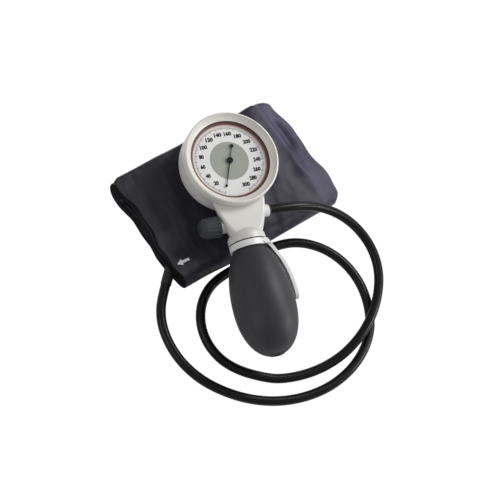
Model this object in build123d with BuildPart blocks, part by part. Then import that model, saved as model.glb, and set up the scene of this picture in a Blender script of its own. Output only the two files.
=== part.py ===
"""Palm-type aneroid sphygmomanometer, lying on its folded arm cuff. Sizes are in millimetres.

Frame: the origin is on the table under the centre of the dial, X points to the right of the
dial, Y to the top of the dial and Z up, along the axis of the pointer. The handle (neck, spoon
and bulb) runs from the gauge head towards -Y, on an axis that is handle_z above the table.
"""

import os
from math import asin, cos, pi, radians, sin, sqrt, tan

from build123d import *

os.makedirs("parts", exist_ok=True)

# Folded cuff: a strip of padded cloth rolled flat in six layers
cuff_width = 145.0
cuff_depth = 93.5
cuff_turn = 19.3
cuff_center = (3.6, -12.4)
cloth_thickness = 3.0
layer_gap = 0.35
layer_turns = 2
cuff_corner = 5.0

# Bladder inside the rolled strip, and the hose that feeds it
bladder_thickness = 1.0
bladder_length = 124.0
pocket_clearance = 0.2
hose_diameter = 7.0
hose_bore = 3.4
hose_bore_depth = 8.0
spout_depth = 20.0

# Gauge head
handle_z = 38.5
head_radius = 34.6
head_back = 20.3
head_front = 53.9
head_wall = 2.6
side_wall = 3.6
bowl_flat = 20.0
bowl_top = 38.0
cavity_radius = head_radius - side_wall
bezel_bottom = 46.2
upstand_wall = 1.2
upstand_top = 50.2
lip_reach = 1.7
bezel_lip = cavity_radius - lip_reach
dial_clearance = 0.2
dial_radius = cavity_radius - dial_clearance
dial_top = 46.4
dial_thickness = 0.6
lens_thickness = 1.0
spacer_height = 1.9
spacer_wall = 1.9
spacer_foot = 4.4
lip_thickness = 0.35

# Neck and the joint to the bulb
neck_top_width = 42.0
neck_mid_width = 34.0
neck_end_width = 27.0
neck_top_back = 24.3
neck_end_back = 26.0
neck_top_front = 45.4
neck_mid_front = 46.2
neck_end_front = 46.8
neck_top_corner = 2.0
neck_mid_corner = 2.6
neck_end_corner = 6.0
neck_back_corner = 4.2
neck_draft = 0.38
neck_root = 10.6
neck_waist = 9.4
neck_length = 25.4
neck_end = head_radius + neck_length
collar_radius = 13.6
dome_length = 7.5
band_length = 3.0
gallery_radius = 2.2
socket_radius = 6.0
socket_depth = 9.0

# Hose port on the right of the neck, release valve on its left
port_y = -head_radius - 3.9
port_radius = 4.3
port_end = 21.6
flange_radius = 4.0
flange_thickness = 1.2
valve_y = -head_radius - 10.4
bush_radius = 3.6
valve_boss_radius = 5.4
knob_gap = 0.4
bush_inner_end = 6.0
spindle_radius = 1.55
knob_radius = 7.7
knob_length = 14.4
knob_start = 17.4
knob_flutes = 14
spindle_grip = 11.0
grip_clearance = 0.03

# Swivelling collar with its finger spoon
collar_gap = 0.3
collar_length = 5.0
hub_radius = 8.1
collar_clearance = 0.35
running_gap = 0.05
spoon_thickness = 2.4
spoon_standoff = 1.6
spoon_root = 1.6
spoon_past_middle = 1.0
spoon_width = 16.0
spoon_tip_width = 10.0

# Bulb
bulb_radius = 22.35
bulb_front_length = 41.3
bulb_back_length = 38.0
bulb_throat_radius = 11.2
throat_gap = 0.65
bulb_wall = 2.4
mouth_length = 10.0
barb_radius = 5.6
intake_radius = 4.4
intake_flange = 5.4

# Gauge movement
capsule_radius = 16.0
capsule_center = (3.0, -5.55)
capsule_middle = 31.1
capsule_half = 1.7
diaphragm_thickness = 0.3
base_plate_radius = 26.0
base_plate_bottom = 27.0
base_plate_thickness = 1.2
tube_notch_end = 18.0
lower_plate_bottom = 35.0
upper_plate_bottom = 43.2
plate_thickness = 0.8
pillar_radius = 1.5
dial_foot_radius = 1.2
gear_module = 0.3
pinion_teeth = 10
sector_teeth = 90
sector_teeth_cut = 12
pressure_angle = radians(20)
backlash = 0.05
gear_bottom = 41.4
gear_thickness = 0.7
arbor_radius = 0.6
rocker_z = 37.4
rocker_arm = 4.0
rocker_y = -1.55
push_pin_x = 17.03
hub_disc_radius = 2.3
counterweight_radius = 1.35
pointer_length = 21.5
pointer_tail = 12.6
pointer_gap = 0.6
hub_thickness = 0.9
hub_cap = 0.3
pointer_bottom = dial_top + pointer_gap
pointer_zero = 201.5
hairspring_turns = 4


def save(piece, name):
    """Label a finished piece and write its STEP file."""
    piece.part.label = name
    export_step(piece.part, f"parts/{name}.step")


# Plane of the half sections of everything round along the handle: local X runs down the
# handle from the dial axis, local Y is the radius
handle = Plane(origin=(0, 0, handle_z), x_dir=(0, -1, 0), z_dir=(-1, 0, 0))
handle_axis = Axis((0, 0, handle_z), (0, -1, 0))


# Cuff
# The strip's section lies across the folds: local X runs from the front fold to the back
# edge, local Y is up
turn = radians(cuff_turn)
along = Vector(cos(turn), sin(turn), 0)
across = Vector(-sin(turn), cos(turn), 0)
cuff_section = Plane(origin=(*cuff_center, 0), x_dir=across, z_dir=along)
pitch = cloth_thickness + layer_gap
roll_middle = pitch / 2 + layer_turns * pitch + cloth_thickness / 2
front_bend = -cuff_depth / 2 + roll_middle
back_bend = cuff_depth / 2 - (layer_turns * pitch + cloth_thickness / 2)


def bottom_layer(turns):
    """Height of the middle of the bottom layer of that turn, counted from the inside."""
    return roll_middle - pitch / 2 - turns * pitch


def top_layer(turns):
    """Height of the middle of the top layer of that turn."""
    return roll_middle + pitch / 2 + turns * pitch


def front_fold(turns):
    """Bend over the front edge, from the bottom layer to the top layer of a turn."""
    CenterArc((front_bend, roll_middle), pitch / 2 + turns * pitch, 270, -180)


def back_fold(turns):
    """Bend over the back edge, from the top layer of a turn to the next bottom layer."""
    CenterArc((back_bend, roll_middle - pitch / 2), (turns + 1) * pitch, 90, -180)


def rolled_strip():
    """Middle line of the whole strip, from its inner end to its free outer end."""
    Line((back_bend - cloth_thickness, bottom_layer(0)), (front_bend, bottom_layer(0)))
    for turns in range(layer_turns + 1):
        front_fold(turns)
        if turns < layer_turns:
            Line((front_bend, top_layer(turns)), (back_bend, top_layer(turns)))
            back_fold(turns)
            Line((back_bend, bottom_layer(turns + 1)), (front_bend, bottom_layer(turns + 1)))
    Line((front_bend, top_layer(layer_turns)), (cuff_depth / 2, top_layer(layer_turns)))


def bladder_strip():
    """Middle line of the bladder, folded once inside the middle turn."""
    Line((back_bend - 4, bottom_layer(1)), (front_bend, bottom_layer(1)))
    front_fold(1)
    Line((front_bend, top_layer(1)), (back_bend - 2, top_layer(1)))


# Route of the hose, chosen along the hose in the photograph, from the port on the neck
# round two loops to the edge of the cuff. Floor height is the hose's own radius.
hose_radius = hose_diameter / 2
hose_start_x = port_end + flange_thickness
hose_points = [
    (hose_start_x, port_y, handle_z),
    (38.0, port_y, handle_z),
    (54.4, -38.8, 35.0),
    (69.2, -41.4, 30.0),
    (84.4, -48.4, 24.0),
    (96.3, -59.5, 18.6),
    (103.4, -74.5, 15.2),
    (104.4, -91.0, 13.0),
    (99.2, -107.5, 11.8),
    (89.6, -123.0, 11.2),
    (76.0, -136.8, 9.4),
    (58.0, -147.9, 5.8),
    (35.5, -154.0, 3.8),
    (11.5, -154.3, 3.5),
    (-3.5, -149.4, 3.5),
    (-19.6, -141.0, 3.5),
    (-31.0, -129.8, 3.5),
    (-37.1, -115.0, 3.5),
    (-36.9, -99.0, 3.5),
    (-30.3, -84.4, 3.5),
    (-18.3, -73.6, 3.5),
    (4.2, -65.7, 3.5),
    (19.5, -60.2, 3.5),
    (33.5, -55.6, 3.5),
    (52.0, -55.4, 3.5),
    (70.0, -63.2, 3.5),
    (83.6, -76.8, 3.5),
    (91.4, -94.0, 3.5),
    (93.0, -112.0, 3.5),
    (89.8, -129.5, 3.5),
    (79.6, -145.6, 3.5),
    (63.4, -158.8, 3.5),
    (43.5, -167.4, 3.5),
    (21.5, -170.6, 3.5),
    (-1.0, -168.6, 3.5),
    (-23.0, -160.8, 3.5),
    (-42.8, -147.6, 3.5),
    (-55.2, -133.2, 3.5),
    (-62.0, -119.0, 3.5),
    (-65.0, -105.0, 3.5),
    (-64.6, -92.8, 3.6),
    (-61.2, -81.2, 4.1),
    (-55.6, -70.9, bottom_layer(1)),
]


def route(points):
    """Corners of a hose, as vectors, with the largest radius that each corner allows."""
    corners = [Vector(*point) for point in points]
    radii = []
    for before, here, after in zip(corners, corners[1:], corners[2:]):
        bend = radians((here - before).get_angle(after - here))
        shorter = min((here - before).length, (after - here).length)
        radii.append(0.45 * shorter / tan(bend / 2))
    return corners, radii


def tube(points, radius, name):
    """Round tube along straight runs joined by tangent arcs, as a solid."""
    corners, radii = route(points)
    with BuildLine() as line:
        FilletPolyline(*corners, radius=radii)
    path = line.wire()
    with BuildSketch(Plane(origin=path @ 0, z_dir=path % 0)) as section:
        Circle(radius)
    with BuildPart() as solid:
        sweep(section.sketch, path=path)
    expected = pi * radius**2 * path.length
    print(f"{name}: length {path.length:.1f}, least radius {min(radii):.1f},"
          f" volume ratio {solid.part.volume / expected:.4f}")
    return solid, path


hose_solid, hose_path = tube(hose_points, hose_radius, "hose")
with BuildPart() as hose:
    add(hose_solid.part)
    for end, inward in ((0, 1), (1, -1)):
        mouth = Plane(origin=hose_path @ end, z_dir=(hose_path % end) * inward)
        with BuildSketch(mouth):
            Circle(hose_bore / 2)
        extrude(amount=hose_bore_depth, mode=Mode.SUBTRACT)
save(hose, "hose")

# The rubber spout of the bladder leaves the roll through the side of the cuff
spout_start = hose_path @ 1
spout_plane = Plane(origin=spout_start, z_dir=hose_path % 1)
spout_radius = hose_radius + 0.4

with BuildPart() as spout_room:
    with BuildSketch(spout_plane.offset(-4)):
        Circle(spout_radius + pocket_clearance)
    extrude(amount=spout_depth + 4.3)

with BuildPart() as cuff_cloth:
    with BuildSketch(cuff_section):
        with BuildLine():
            rolled_strip()
        trace(line_width=cloth_thickness)
    extrude(amount=cuff_width / 2, both=True)
    fillet(cuff_cloth.edges().filter_by(Axis.Z).sort_by(Axis.Z)[-2:], cuff_corner)
    with BuildSketch(cuff_section):
        with BuildLine():
            bladder_strip()
        trace(line_width=bladder_thickness + 2 * pocket_clearance)
    extrude(amount=bladder_length / 2 + 1, both=True, mode=Mode.SUBTRACT)
    add(spout_room.part, mode=Mode.SUBTRACT)
save(cuff_cloth, "cuff_cloth")

with BuildPart() as bladder:
    with BuildSketch(cuff_section):
        with BuildLine():
            bladder_strip()
        trace(line_width=bladder_thickness)
    extrude(amount=bladder_length / 2, both=True)
    add(spout_room.part, mode=Mode.SUBTRACT)
save(bladder, "bladder")

with BuildPart() as bladder_spout:
    with BuildSketch(spout_plane):
        Circle(spout_radius)
    extrude(amount=spout_depth)
    with BuildSketch(spout_plane):
        Circle(hose_bore / 2)
    extrude(amount=spout_depth, mode=Mode.SUBTRACT)
save(bladder_spout, "bladder_spout")

with BuildPart() as hose_joiner:
    with BuildSketch(spout_plane.offset(-hose_bore_depth + 0.5)):
        Circle(hose_bore / 2 - running_gap)
        Circle(hose_bore / 2 - 0.9, mode=Mode.SUBTRACT)
    extrude(amount=2 * hose_bore_depth - 1)
save(hose_joiner, "hose_joiner")

# Gauge head and neck, moulded in one piece
dome_end = neck_end - band_length
with BuildPart() as housing:
    with BuildSketch(Plane.XZ):
        with BuildLine():
            rise = bowl_top - head_back
            reach = head_radius - bowl_flat
            Line((0, head_back), (bowl_flat, head_back))
            EllipticalCenterArc((bowl_flat, bowl_top), reach, rise, 270, arc_size=90)
            Polyline(
                (head_radius, bowl_top),
                (head_radius, bezel_bottom - 0.3),
                (cavity_radius + upstand_wall, bezel_bottom - 0.3),
                (cavity_radius + upstand_wall, upstand_top),
                (0, upstand_top),
                (0, head_back),
            )
        make_face()
    revolve(axis=Axis.Z)
    for distance, width, back, front, corner in (
        (head_radius - neck_root, neck_top_width, neck_top_back, neck_top_front,
         neck_top_corner),
        (head_radius + neck_waist, neck_mid_width, neck_top_back, neck_mid_front,
         neck_mid_corner),
        (dome_end, neck_end_width, neck_end_back, neck_end_front, neck_end_corner),
    ):
        with BuildSketch(Plane.XZ.offset(distance)) as neck_section:
            half = width / 2
            back_half = half - neck_draft * (front - back)
            Polygon((-half, front), (-back_half, back), (back_half, back), (half, front),
                    align=None)
            fillet(neck_section.vertices().sort_by(Axis.Y)[-2:], corner)
            fillet(neck_section.vertices().sort_by(Axis.Y)[:2], neck_back_corner)
    loft()
    with BuildSketch(Plane.YZ.offset(-bush_inner_end)):
        with Locations((valve_y, handle_z)):
            Circle(valve_boss_radius)
    extrude(amount=-(knob_start - knob_gap - bush_inner_end))
    with BuildSketch(handle):
        with BuildLine():
            Line((dome_end - dome_length, 0), (neck_end, 0))
            Line((neck_end, 0), (neck_end, collar_radius))
            Line((neck_end, collar_radius), (dome_end, collar_radius))
            EllipticalCenterArc((dome_end, 0), dome_length, collar_radius, 90, arc_size=90)
        make_face()
    revolve(axis=handle_axis)
    with BuildSketch(Plane.XZ):
        with BuildLine():
            Line((0, head_back + head_wall), (bowl_flat, head_back + head_wall))
            EllipticalCenterArc((bowl_flat, bowl_top), cavity_radius - bowl_flat,
                                rise - head_wall, 270, arc_size=90)
            Polyline(
                (cavity_radius, bowl_top),
                (cavity_radius, upstand_top),
                (0, upstand_top),
                (0, head_back + head_wall),
            )
        make_face()
    revolve(axis=Axis.Z, mode=Mode.SUBTRACT)
    boss_height = base_plate_bottom - head_back - head_wall
    with BuildSketch(Plane.XY.offset(head_back + head_wall - 0.2)):
        with PolarLocations(base_plate_radius - 4, 3, start_angle=90):
            Circle(2.8)
    extrude(amount=boss_height + 0.2)
    with BuildSketch(Plane.XY.offset(base_plate_bottom)):
        with PolarLocations(base_plate_radius - 4, 3, start_angle=90):
            Circle(1.0)
    extrude(amount=-boss_height, mode=Mode.SUBTRACT)
    with BuildSketch(Plane.XZ.offset(cavity_radius - 1)):
        with Locations((0, handle_z)):
            Circle(gallery_radius)
    extrude(amount=neck_end - cavity_radius, mode=Mode.SUBTRACT)
    with BuildSketch(Plane.XZ.offset(neck_end)):
        with Locations((0, handle_z)):
            Circle(socket_radius)
    extrude(amount=-socket_depth, mode=Mode.SUBTRACT)
    with BuildSketch(Plane.YZ.offset(gallery_radius / 2)):
        with Locations((port_y, handle_z)):
            Circle(port_radius)
    extrude(amount=port_end, mode=Mode.SUBTRACT)
    with BuildSketch(Plane.YZ.offset(-gallery_radius / 2)):
        with Locations((valve_y, handle_z)):
            Circle(bush_radius)
    extrude(amount=-port_end, mode=Mode.SUBTRACT)
save(housing, "housing")

with BuildPart() as bezel:
    with BuildSketch(Plane.XZ):
        with BuildLine():
            seat = dial_top + spacer_height + lens_thickness
            crest = head_radius - 1.2
            lip_top = seat + lip_thickness
            Line((bezel_lip, seat), (bezel_lip, lip_top))
            ThreePointArc((bezel_lip, lip_top),
                          ((bezel_lip + crest) / 2 + 0.25, (lip_top + head_front) / 2 - 0.25),
                          (crest, head_front))
            EllipticalCenterArc((crest, head_front - 1.2), head_radius - crest, 1.2, 0,
                                arc_size=90)
            Polyline(
                (head_radius, head_front - 1.2),
                (head_radius, bezel_bottom + 0.3),
                (head_radius - 0.3, bezel_bottom),
                (cavity_radius + upstand_wall + running_gap, bezel_bottom),
                (cavity_radius + upstand_wall + running_gap, upstand_top + 0.1),
                (cavity_radius, upstand_top + 0.1),
                (cavity_radius, seat),
                (bezel_lip, seat),
            )
        make_face()
    revolve(axis=Axis.Z)
save(bezel, "bezel")

with BuildPart() as lens:
    with BuildSketch(Plane.XY.offset(dial_top + spacer_height)):
        Circle(dial_radius)
    extrude(amount=lens_thickness)
    chamfer(lens.edges().sort_by(Axis.Z)[-1], 0.2)
save(lens, "lens")

with BuildPart() as dial_ring:
    with BuildSketch(Plane.XZ):
        with BuildLine():
            Polyline(
                (dial_radius - spacer_foot, dial_top),
                (dial_radius - spacer_foot, dial_top + 0.15),
                (dial_radius - spacer_wall, dial_top + spacer_height),
                (dial_radius, dial_top + spacer_height),
                (dial_radius, dial_top),
                (dial_radius - spacer_foot, dial_top),
            )
        make_face()
    revolve(axis=Axis.Z)
save(dial_ring, "dial_ring")

foot_places = [
    (
        capsule_center[0] + (capsule_radius + 2.5) * cos(radians(angle)),
        capsule_center[1] + (capsule_radius + 2.5) * sin(radians(angle)),
    )
    for angle in (40, 160, 280)
]

with BuildPart() as dial:
    with BuildSketch(Plane.XY.offset(dial_top - dial_thickness)):
        Circle(dial_radius)
        Circle(1.4, mode=Mode.SUBTRACT)
    extrude(amount=dial_thickness)
save(dial, "dial")

# Movement: base plate, capsule, plates and pillars
with BuildPart() as base_plate:
    with BuildSketch(Plane.XY.offset(base_plate_bottom)):
        Circle(base_plate_radius)
        with PolarLocations(base_plate_radius - 4, 3, start_angle=90):
            Circle(1.3, mode=Mode.SUBTRACT)
        with Locations(capsule_center):
            Circle(3.2, mode=Mode.SUBTRACT)
        with Locations((1, -tube_notch_end)):
            Rectangle(10, 2 * (base_plate_radius - tube_notch_end) + 1, align=(Align.CENTER, Align.MAX),
                      mode=Mode.SUBTRACT)
    extrude(amount=base_plate_thickness)
save(base_plate, "base_plate")

with BuildPart() as base_screws:
    top = base_plate_bottom + base_plate_thickness
    with BuildSketch(Plane.XY.offset(top)):
        with PolarLocations(base_plate_radius - 4, 3, start_angle=90):
            Circle(2.0)
    extrude(amount=1.1)
    with BuildSketch(Plane.XY.offset(top + 1.1)):
        with PolarLocations(base_plate_radius - 4, 3, start_angle=90):
            Rectangle(0.5, 4.2)
    extrude(amount=-0.5, mode=Mode.SUBTRACT)
    with BuildSketch(Plane.XY.offset(top)):
        with PolarLocations(base_plate_radius - 4, 3, start_angle=90):
            Circle(1.0)
    extrude(amount=-4.6)
save(base_screws, "base_screws")

capsule_axis = Axis((*capsule_center, 0), (0, 0, 1))
capsule_plane = Plane(origin=(*capsule_center, 0), x_dir=(1, 0, 0), z_dir=(0, -1, 0))


def diaphragm_profile(side):
    """Half section of a corrugated diaphragm, above (side 1) or below (side -1) the rim."""
    waves = 3
    flat = 4.0
    rim = capsule_radius - 1.2
    points = [(0, capsule_half)]
    for step in range(2 * waves + 1):
        radius = flat + (rim - flat) * step / (2 * waves)
        slope = capsule_half - (capsule_half - 0.2) * step / (2 * waves)
        points.append((radius, slope + (0.45 if step % 2 else 0)))
    points.append((rim, 0.0))
    points.append((capsule_radius, 0.0))
    inner = [(r, capsule_middle + side * h) for r, h in points]
    outer = [(r, capsule_middle + side * (h + diaphragm_thickness)) for r, h in points]
    Polyline(*inner, *reversed(outer), inner[0])


with BuildPart() as capsule_upper_diaphragm:
    with BuildSketch(capsule_plane):
        with BuildLine():
            diaphragm_profile(1)
        make_face()
    revolve(axis=capsule_axis)
save(capsule_upper_diaphragm, "capsule_upper_diaphragm")

inlet_radius = 3.0
with BuildPart() as capsule_lower_diaphragm:
    with BuildSketch(capsule_plane):
        with BuildLine():
            diaphragm_profile(-1)
        make_face()
    revolve(axis=capsule_axis)
    with BuildSketch(Plane.XY.offset(capsule_middle - capsule_half - 1)):
        with Locations(capsule_center):
            Circle(1.2)
    extrude(amount=2, mode=Mode.SUBTRACT)
save(capsule_lower_diaphragm, "capsule_lower_diaphragm")

inlet_z = 25.3
inlet_end = capsule_center[1] - 7.5
with BuildPart() as capsule_inlet:
    with BuildSketch(Plane.XY.offset(head_back + head_wall + 0.3)):
        with Locations(capsule_center):
            Circle(inlet_radius)
    extrude(amount=capsule_middle - capsule_half - diaphragm_thickness
            - head_back - head_wall - 0.3)
    with BuildSketch(Plane.XZ.offset(-capsule_center[1])):
        with Locations((capsule_center[0], inlet_z)):
            Circle(1.6)
    extrude(amount=capsule_center[1] - inlet_end)
    with BuildSketch(Plane.XZ.offset(-capsule_center[1])):
        with Locations((capsule_center[0], inlet_z)):
            Circle(0.8)
    extrude(amount=capsule_center[1] - inlet_end, mode=Mode.SUBTRACT)
    with BuildSketch(Plane.XY.offset(inlet_z)):
        with Locations(capsule_center):
            Circle(1.2)
    extrude(amount=10, mode=Mode.SUBTRACT)
save(capsule_inlet, "capsule_inlet")

gauge_tube_points = [
    (0, -cavity_radius + 1.8, handle_z),
    (0, -26.6, handle_z),
    (0, -24.4, 33.6),
    (0.3, -24.0, 30.0),
    (1.4, -22.6, 26.9),
    (capsule_center[0], -18.6, inlet_z),
    (capsule_center[0], inlet_end, inlet_z),
]
gauge_tube_solid, gauge_tube_path = tube(gauge_tube_points, 1.6, "gauge_tube")
with BuildPart() as gauge_tube:
    add(gauge_tube_solid.part)
save(gauge_tube, "gauge_tube")

with BuildPart() as gauge_nipple:
    with BuildSketch(Plane.XZ.offset(cavity_radius - 1.8)):
        with Locations((0, handle_z)):
            Circle(gallery_radius - 0.05)
            Circle(0.9, mode=Mode.SUBTRACT)
    extrude(amount=6)
save(gauge_nipple, "gauge_nipple")


def movement_plate():
    """Outline of the two plates that carry the arbors: the hull of their pillar places."""
    with Locations(*foot_places):
        Circle(3.0)
    make_hull()
    with Locations((0, 0), (gear_distance, 0)):
        Circle(arbor_radius + running_gap, mode=Mode.SUBTRACT)


pinion_radius = gear_module * pinion_teeth / 2
sector_radius = gear_module * sector_teeth / 2
gear_distance = pinion_radius + sector_radius

with BuildPart() as lower_plate:
    with BuildSketch(Plane.XY.offset(lower_plate_bottom)):
        movement_plate()
        with Locations(capsule_center):
            Circle(1.3, mode=Mode.SUBTRACT)
    extrude(amount=plate_thickness)
    for lug_x in (1.5, 11.5):
        with BuildSketch(Plane.YZ.offset(lug_x)):
            with Locations((rocker_y, (lower_plate_bottom + rocker_z) / 2 + 0.6)):
                Rectangle(2.4, rocker_z - lower_plate_bottom + 0.9)
        extrude(amount=0.8)
        with BuildSketch(Plane.YZ.offset(lug_x)):
            with Locations((rocker_y, rocker_z)):
                Circle(0.55 + running_gap)
        extrude(amount=0.8, mode=Mode.SUBTRACT)
save(lower_plate, "lower_plate")

with BuildPart() as upper_plate:
    with BuildSketch(Plane.XY.offset(upper_plate_bottom)):
        movement_plate()
    extrude(amount=plate_thickness)
save(upper_plate, "upper_plate")


# Three rows of round pillars at the corners of the plates
plate_bottom = lower_plate_bottom + plate_thickness
feet_bottom = upper_plate_bottom + plate_thickness
with BuildPart() as base_pillars:
    with BuildSketch(Plane.XY.offset(base_plate_bottom + base_plate_thickness)):
        with Locations(*foot_places):
            Circle(pillar_radius)
    extrude(amount=lower_plate_bottom - base_plate_bottom - base_plate_thickness)
save(base_pillars, "base_pillars")

with BuildPart() as plate_pillars:
    with BuildSketch(Plane.XY.offset(plate_bottom)):
        with Locations(*foot_places):
            Circle(pillar_radius)
    extrude(amount=upper_plate_bottom - plate_bottom)
save(plate_pillars, "plate_pillars")

with BuildPart() as dial_feet:
    with BuildSketch(Plane.XY.offset(feet_bottom)):
        with Locations(*foot_places):
            Circle(dial_foot_radius)
    extrude(amount=dial_top - dial_thickness - feet_bottom)
save(dial_feet, "dial_feet")


def involute_angle(radius, base):
    """Angle by which an involute has left its start on the base circle at a radius."""
    if radius <= base:
        return 0.0
    slope = sqrt((radius / base) ** 2 - 1)
    return slope - (pi / 2 - asin(base / radius))


def tooth(teeth, angle, root, tip):
    """One involute tooth of a gear about the origin, pointing at an angle in radians."""
    reference = gear_module * teeth / 2
    base = reference * cos(pressure_angle)
    half = pi / (2 * teeth) - backlash / (2 * reference)
    half_at_base = half + involute_angle(reference, base)
    start = max(base, root)
    steps = [start + (tip - start) * k / 3 for k in range(4)]
    flank = [(r, half_at_base - involute_angle(r, base)) for r in steps]
    flank.insert(0, (root - 0.1, flank[0][1]))
    left = [(r * cos(angle + a), r * sin(angle + a)) for r, a in flank]
    right = [(r * cos(angle - a), r * sin(angle - a)) for r, a in flank]
    Polygon(*left, *reversed(right), align=None)


addendum = 0.9 * gear_module
dedendum = 1.2 * gear_module
with BuildPart() as pinion_arbor:
    with BuildSketch(Plane.XY.offset(gear_bottom - 0.4)):
        Circle(pinion_radius - dedendum)
        for index in range(pinion_teeth):
            tooth(pinion_teeth, 2 * pi * (index + 0.5) / pinion_teeth,
                  pinion_radius - dedendum, pinion_radius + addendum)
    extrude(amount=gear_thickness + 0.8)
    with BuildSketch(Plane.XY.offset(lower_plate_bottom + 0.1)):
        Circle(arbor_radius)
    extrude(amount=pointer_bottom + hub_thickness - hub_cap - lower_plate_bottom - 0.1)
save(pinion_arbor, "pinion_arbor")

sector_place = Plane(origin=(gear_distance, 0, gear_bottom))
with BuildPart() as sector_gear:
    with BuildSketch(sector_place):
        rim_outer = sector_radius - dedendum
        rim_inner = rim_outer - 1.4
        first = 184
        tooth_step = 360 / sector_teeth
        last = first - tooth_step * (sector_teeth_cut - 1)
        start, stop = radians(last - tooth_step / 2), radians(first + tooth_step / 2)
        with BuildLine():
            arc_out = CenterArc((0, 0), rim_outer, last - tooth_step / 2,
                                sector_teeth_cut * tooth_step)
            arc_in = CenterArc((0, 0), rim_inner, last - tooth_step / 2,
                               sector_teeth_cut * tooth_step)
            Line(arc_out @ 0, arc_in @ 0)
            Line(arc_out @ 1, arc_in @ 1)
        make_face()
        for index in range(sector_teeth_cut):
            tooth(sector_teeth, radians(first - tooth_step * index),
                  rim_outer, sector_radius + addendum)
        Circle(1.5)
        for arm in (start + 0.12, stop - 0.12):
            middle = (rim_inner + 0.5) / 2
            with Locations(Location((middle * cos(arm), middle * sin(arm)), arm * 180 / pi)):
                Rectangle(rim_inner + 0.5, 1.3)
        tail_angle = -17.6
        with Locations(Location((2.1 * cos(radians(tail_angle)),
                                 2.1 * sin(radians(tail_angle))), tail_angle)):
            Rectangle(4.2, 0.9)
    extrude(amount=gear_thickness)
    with BuildSketch(sector_place.offset(lower_plate_bottom + 0.1 - gear_bottom)):
        Circle(arbor_radius)
    extrude(amount=upper_plate_bottom + plate_thickness - 0.1 - lower_plate_bottom)
save(sector_gear, "sector_gear")

with BuildPart() as rocker_shaft:
    with BuildSketch(Plane.YZ.offset(0.9)):
        with Locations((rocker_y, rocker_z)):
            Circle(0.55)
    extrude(amount=push_pin_x + 0.6 - 0.9)
    with BuildSketch(Plane.XY.offset(rocker_z)):
        with Locations((push_pin_x, rocker_y)):
            Circle(0.3)
    extrude(amount=gear_bottom + gear_thickness - rocker_z)
    with BuildSketch(Plane.XZ.offset(-rocker_y)):
        with Locations((capsule_center[0], rocker_z)):
            Circle(0.4)
    extrude(amount=rocker_arm + 0.7)
save(rocker_shaft, "rocker_shaft")

stem_top = rocker_z - 0.4 - 0.15
with BuildPart() as capsule_stem:
    foot = capsule_middle + capsule_half + diaphragm_thickness
    with BuildSketch(capsule_plane):
        with BuildLine():
            Polyline((0, foot), (3.0, foot), (3.0, foot + 0.5), (0.7, foot + 0.5),
                     (0.7, stem_top - 0.7))
            CenterArc((0, stem_top - 0.7), 0.7, 0, 90)
            Line((0, stem_top), (0, foot))
        make_face()
    revolve(axis=capsule_axis)
save(capsule_stem, "capsule_stem")

# Hairspring: a flat spiral of half turns whose middles alternate
spring_pitch = 0.9
spring_start = 1.6
spring_bottom = upper_plate_bottom + plate_thickness + 0.6
with BuildPart() as hairspring:
    with BuildSketch(Plane.XY.offset(spring_bottom)):
        with BuildLine():
            for half in range(2 * hairspring_turns):
                middle = spring_pitch / 4 if half % 2 else -spring_pitch / 4
                radius = spring_start + spring_pitch / 4 + half * spring_pitch / 2
                CenterArc((middle, 0), radius, 180 * (half % 2), 180)
        trace(line_width=0.25)
    extrude(amount=0.5)
save(hairspring, "hairspring")

with BuildPart() as hairspring_collet:
    with BuildSketch(Plane.XY.offset(spring_bottom - 0.2)):
        Circle(spring_start - 0.2)
        Circle(arbor_radius, mode=Mode.SUBTRACT)
    extrude(amount=0.9)
save(hairspring_collet, "hairspring_collet")

stud_radius = 0.7
stud_x = spring_start + hairspring_turns * spring_pitch + stud_radius + 0.2
with BuildPart() as hairspring_stud:
    with BuildSketch(Plane.XY.offset(upper_plate_bottom + plate_thickness)):
        with Locations((stud_x, 0)):
            Circle(stud_radius)
    extrude(amount=1.4)
save(hairspring_stud, "hairspring_stud")

with BuildPart() as pointer:
    zero = -pointer_zero + 90
    with BuildSketch(Plane.XY.offset(pointer_bottom)):
        Circle(hub_disc_radius)
    extrude(amount=hub_thickness)
    with BuildSketch(Plane.XY.offset(pointer_bottom + 0.2).rotated((0, 0, zero))):
        with BuildLine():
            Polyline(
                (0, 0.45), (pointer_length - 3.0, 0.22), (pointer_length - 1.7, 1.0),
                (pointer_length, 0), (pointer_length - 1.7, -1.0),
                (pointer_length - 3.0, -0.22), (0, -0.45), (0, 0.45),
            )
        make_face()
        with Locations((-pointer_tail / 2, 0)):
            Rectangle(pointer_tail, 0.5)
        with Locations((-pointer_tail + counterweight_radius, 0)):
            Circle(counterweight_radius)
    extrude(amount=0.35)
    with BuildSketch(Plane.XY.offset(pointer_bottom)):
        Circle(arbor_radius)
    extrude(amount=hub_thickness - hub_cap, mode=Mode.SUBTRACT)
save(pointer, "pointer")

# Hose port
with BuildPart() as port_socket:
    with BuildSketch(Plane.YZ.offset(gallery_radius + 4)):
        with Locations((port_y, handle_z)):
            Circle(port_radius - 0.05)
            Circle(2.3, mode=Mode.SUBTRACT)
    extrude(amount=port_end - gallery_radius - 4)
save(port_socket, "port_socket")

with BuildPart() as hose_connector:
    with BuildSketch(Plane(origin=(0, port_y, handle_z), x_dir=(1, 0, 0), z_dir=(0, -1, 0))):
        with BuildLine():
            Polyline(
                (10, 0.9), (10, 2.25), (port_end + 0.05, 2.25),
                (port_end + 0.05, flange_radius - 0.5), (port_end + 0.55, flange_radius),
                (hose_start_x, flange_radius), (hose_start_x, 1.35),
                (hose_start_x + 3, 1.35), (hose_start_x + 3, 1.65),
                (hose_start_x + 7, 1.25), (hose_start_x + 7, 0.9), (10, 0.9),
            )
        make_face()
    revolve(axis=Axis((0, port_y, handle_z), (1, 0, 0)))
save(hose_connector, "hose_connector")

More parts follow.
